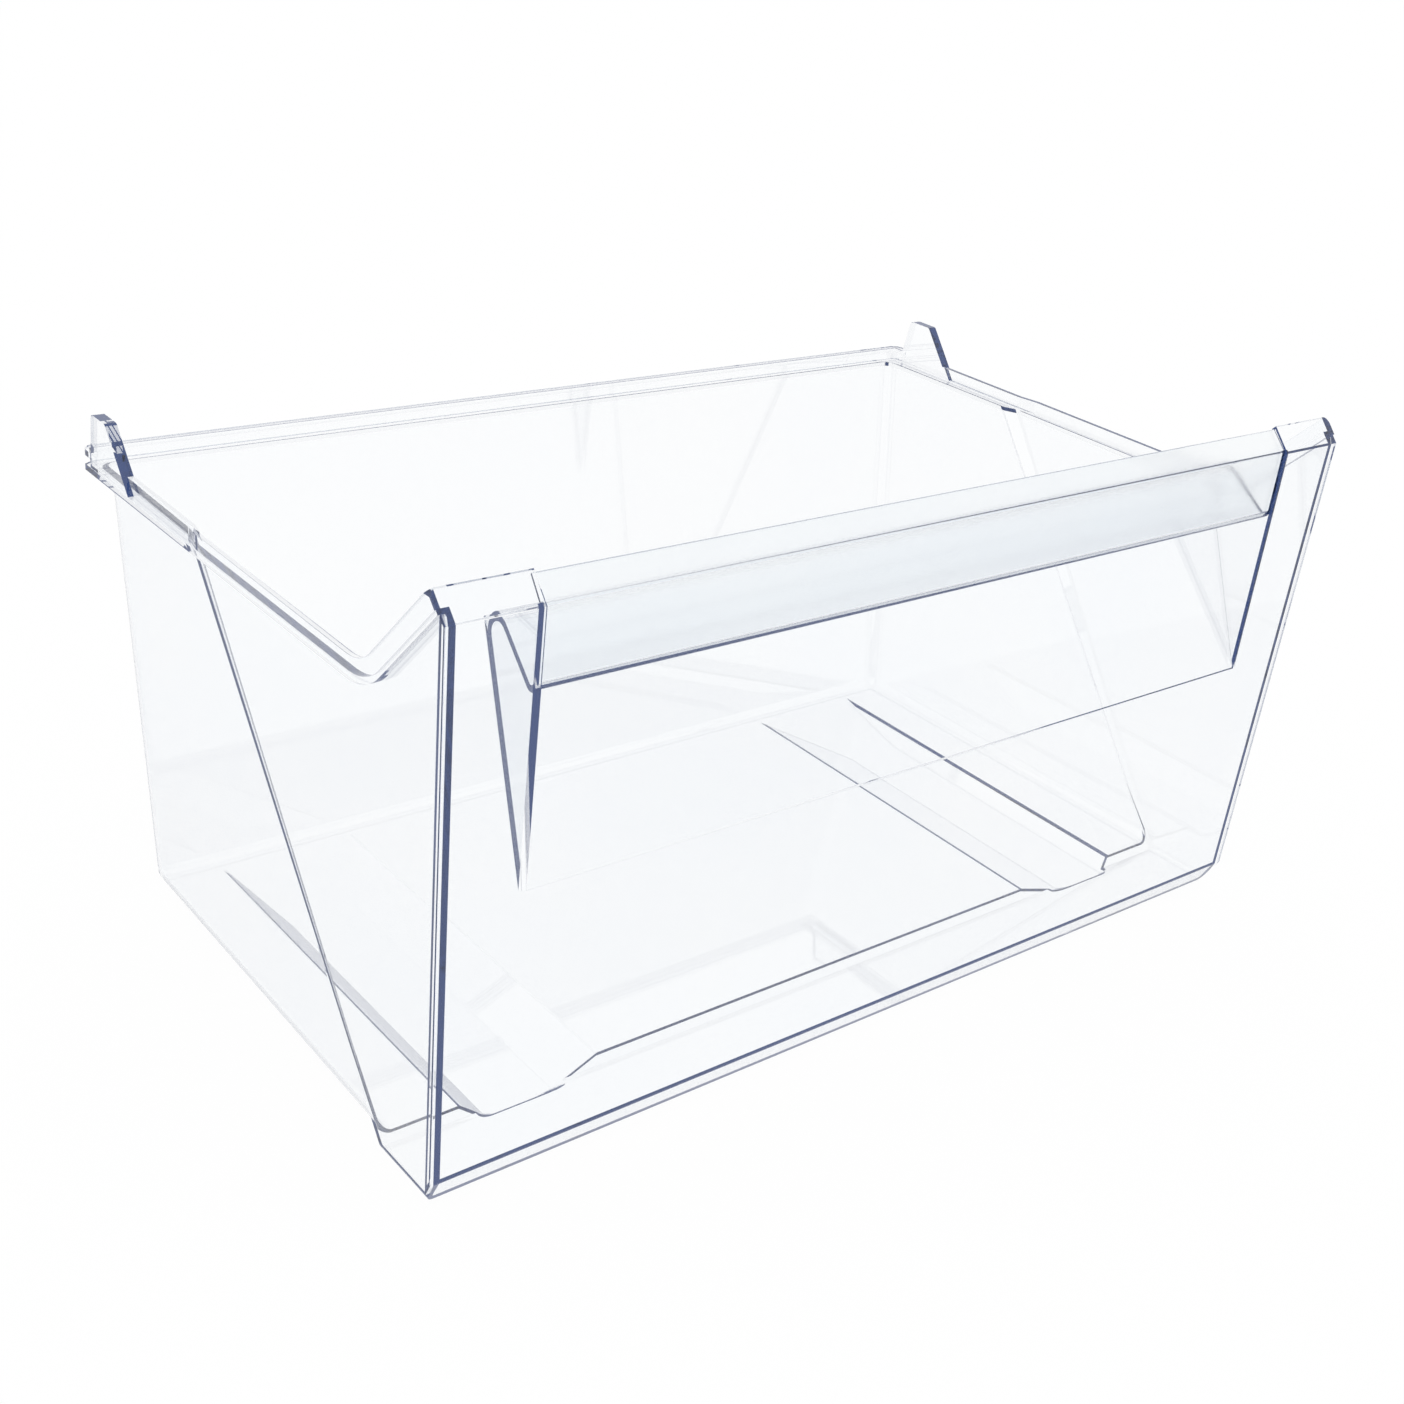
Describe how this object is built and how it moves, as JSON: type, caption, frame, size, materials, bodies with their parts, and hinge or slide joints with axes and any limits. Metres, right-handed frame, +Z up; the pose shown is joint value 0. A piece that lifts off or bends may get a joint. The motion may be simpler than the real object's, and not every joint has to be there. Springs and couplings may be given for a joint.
{
  "type": "freezer drawer",
  "caption": "Clear one-piece moulded freezer drawer, open at the top, with a folded finger pull across its front, a stepped rim ramping up to the front, rear stops and sunk skids in the floor.",
  "frame": {"origin": "centre of the bounding box on the plane that the drawer stands on", "axes": "+X to the right seen from the front, +Y from the front to the back, +Z up; the pull faces -Y"},
  "size_m": [0.4474, 0.266, 0.2306],
  "materials": {
    "clear_plastic": "polished, clear with a faint cool blue tint"
  },
  "bodies": {
    "root": {"drawer": "clear_plastic"}
  },
  "joints": []
}
